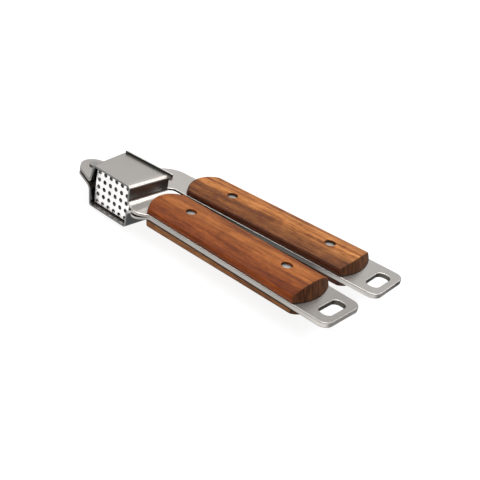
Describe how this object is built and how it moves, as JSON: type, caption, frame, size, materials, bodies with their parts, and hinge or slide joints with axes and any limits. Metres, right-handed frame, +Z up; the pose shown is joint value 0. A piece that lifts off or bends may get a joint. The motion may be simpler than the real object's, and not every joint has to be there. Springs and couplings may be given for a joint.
{
  "type": "garlic press",
  "caption": "Hand-held garlic press: pressed-steel levers with riveted wooden scales, a box-shaped perforated sieve basket and a plunger on the pivoting lever.",
  "frame": {"origin": "centre of the bounding box at its lowest plane, with the handles as they lie at rest", "axes": "+X from the hinge along the hopper lever to its end, +Y towards the plunger lever, +Z up along the hinge pin"},
  "size_m": [0.1756, 0.0732, 0.0265],
  "materials": {
    "pressed_steel": "fine brushed, satin",
    "sieve_steel": "satin, punched",
    "rivet_steel": "smooth, slightly warm",
    "cast_steel": "matt cast",
    "acacia_wood": "oiled, reddish brown, grain along the handle"
  },
  "bodies": {
    "hopper_lever": {"hopper_upper_shell": "pressed_steel", "hopper_lower_shell": "pressed_steel", "hinge_pin": "rivet_steel", "sieve_basket": "sieve_steel", "hopper_upper_scale": "acacia_wood", "hopper_lower_scale": "acacia_wood", "hopper_rivet_sleeves": "rivet_steel", "hopper_rivet_pins": "rivet_steel"},
    "plunger_lever": {"lever_upper_plate": "pressed_steel", "lever_lower_plate": "pressed_steel", "lever_upper_scale": "acacia_wood", "lever_lower_scale": "acacia_wood", "lever_rivet_sleeves": "rivet_steel", "lever_rivet_pins": "rivet_steel", "plunger": "cast_steel", "plunger_rivets": "rivet_steel"}
  },
  "joints": [
    {"name": "press_pivot", "type": "hinge", "parent": "hopper_lever", "child": "plunger_lever", "pos_m": [-0.08065, -0.02058, 0.01325], "axis": [0, 0, 1], "range_deg": [-4, 130]}
  ]
}
